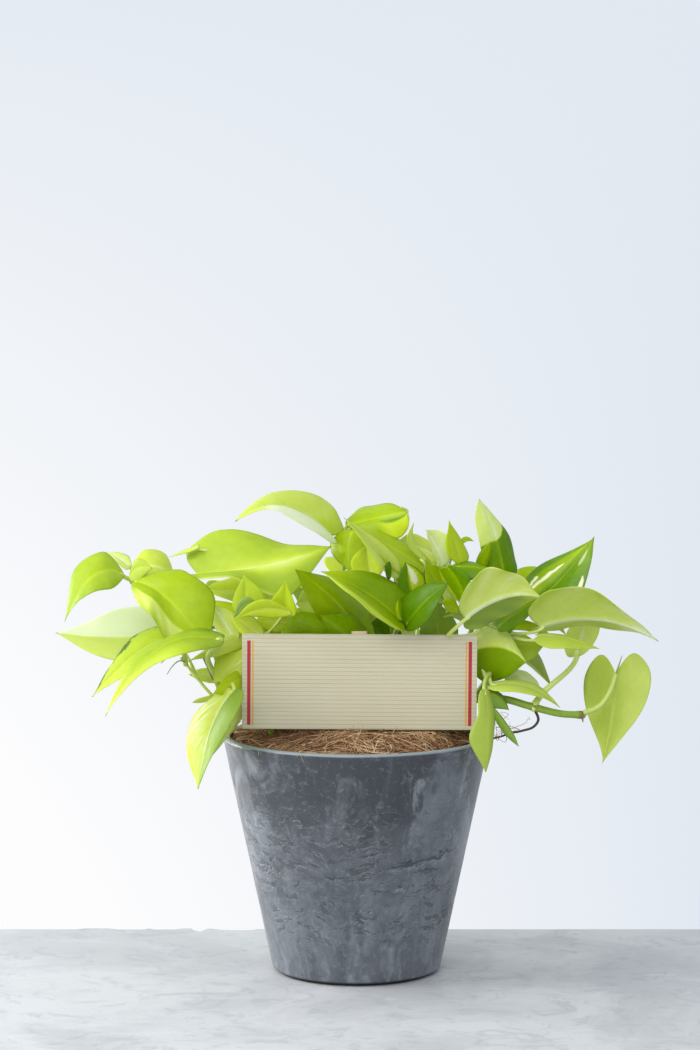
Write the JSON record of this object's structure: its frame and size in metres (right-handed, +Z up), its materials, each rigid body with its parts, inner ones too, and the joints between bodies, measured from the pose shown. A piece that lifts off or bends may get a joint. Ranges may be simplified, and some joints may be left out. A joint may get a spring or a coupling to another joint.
{
  "type": "potted lime pothos",
  "caption": "Lime-green pothos in a tapered marbled grey planter with coconut-fibre mulch and a blank wooden gift plate on a stake.",
  "frame": {"origin": "middle of the planter's foot, on the surface that it stands on", "axes": "+Z up; the plate faces -Y; +X is to the right as the plate is seen"},
  "size_m": [0.4873, 0.3015, 0.3953],
  "materials": {
    "planter": "satin, marbled blue-grey slate with pale streaks and a lighter rim",
    "soil": "dark damp potting mix",
    "coir": "matt loose brown fibres",
    "plate": "satin pale wood with fine lines along it, red and gold stripes at both ends, no lettering",
    "stake": "plain pale wood",
    "foliage": "glossy lime-green leaves, darker green in the middle"
  },
  "bodies": {
    "root": {"pot": "planter", "soil": "soil", "coir_mulch": "coir", "gift_plate": "plate", "plate_stake": "stake", "vine_far_left": "foliage", "vine_left": "foliage", "vine_left_inner": "foliage", "vine_front_left": "foliage", "vine_upper_left": "foliage", "vine_top": "foliage", "vine_top_right": "foliage", "vine_centre": "foliage", "vine_centre_right": "foliage", "vine_right_upper": "foliage", "vine_right": "foliage", "vine_trailing_right": "foliage", "vine_front_right": "foliage", "vine_rear_left": "foliage", "vine_rear": "foliage", "vine_rear_right": "foliage", "vine_side_right": "foliage"}
  },
  "joints": []
}
